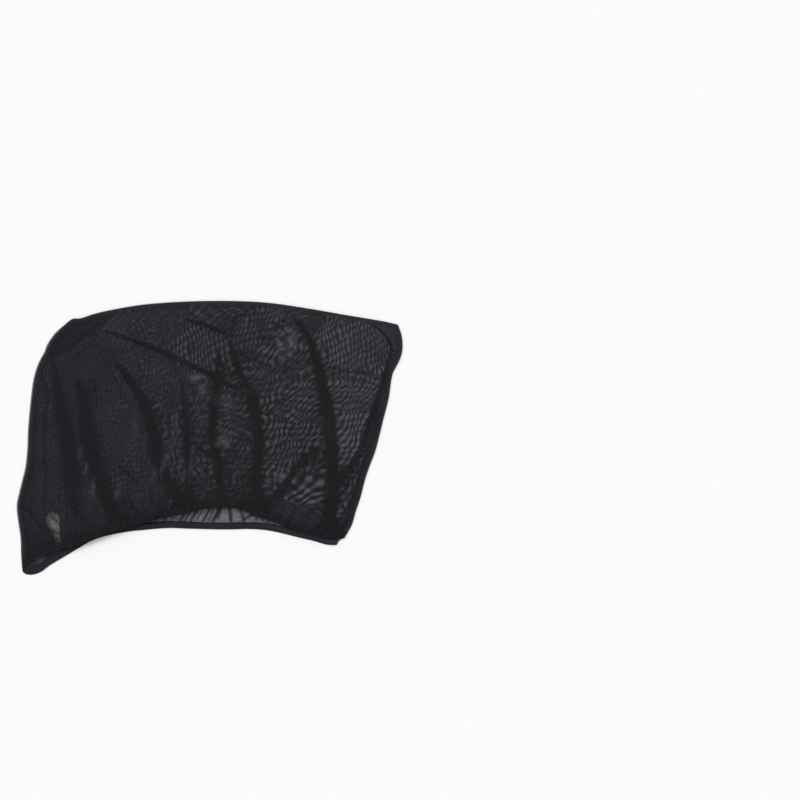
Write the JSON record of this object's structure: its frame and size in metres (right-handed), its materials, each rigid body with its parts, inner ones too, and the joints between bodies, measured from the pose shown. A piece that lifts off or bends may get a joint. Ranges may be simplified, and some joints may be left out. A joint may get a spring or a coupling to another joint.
{
  "type": "car window insect net",
  "caption": "Flat sleeve of black stretch mesh that slips down over a door's window frame, sewn at the top and sides, with elastic hems at its open lower end",
  "frame": {"origin": "on the table, under the middle of the net's outline as it lies", "axes": "+X runs along the net's longest side, +Y from its open lower end to its sewn top, +Z out of the table"},
  "size_m": [0.74, 0.5244, 0.0176],
  "materials": {
    "net_mesh": "fine black stretch mesh, half see-through",
    "hem_elastic": "smooth black woven elastic, folded over the edge",
    "seam_thread": "black overlocked seam allowance"
  },
  "bodies": {
    "root": {"front_panel": "net_mesh", "rear_panel": "net_mesh", "front_hem_elastic": "hem_elastic", "rear_hem_elastic": "hem_elastic", "edge_seam": "seam_thread"}
  },
  "joints": []
}
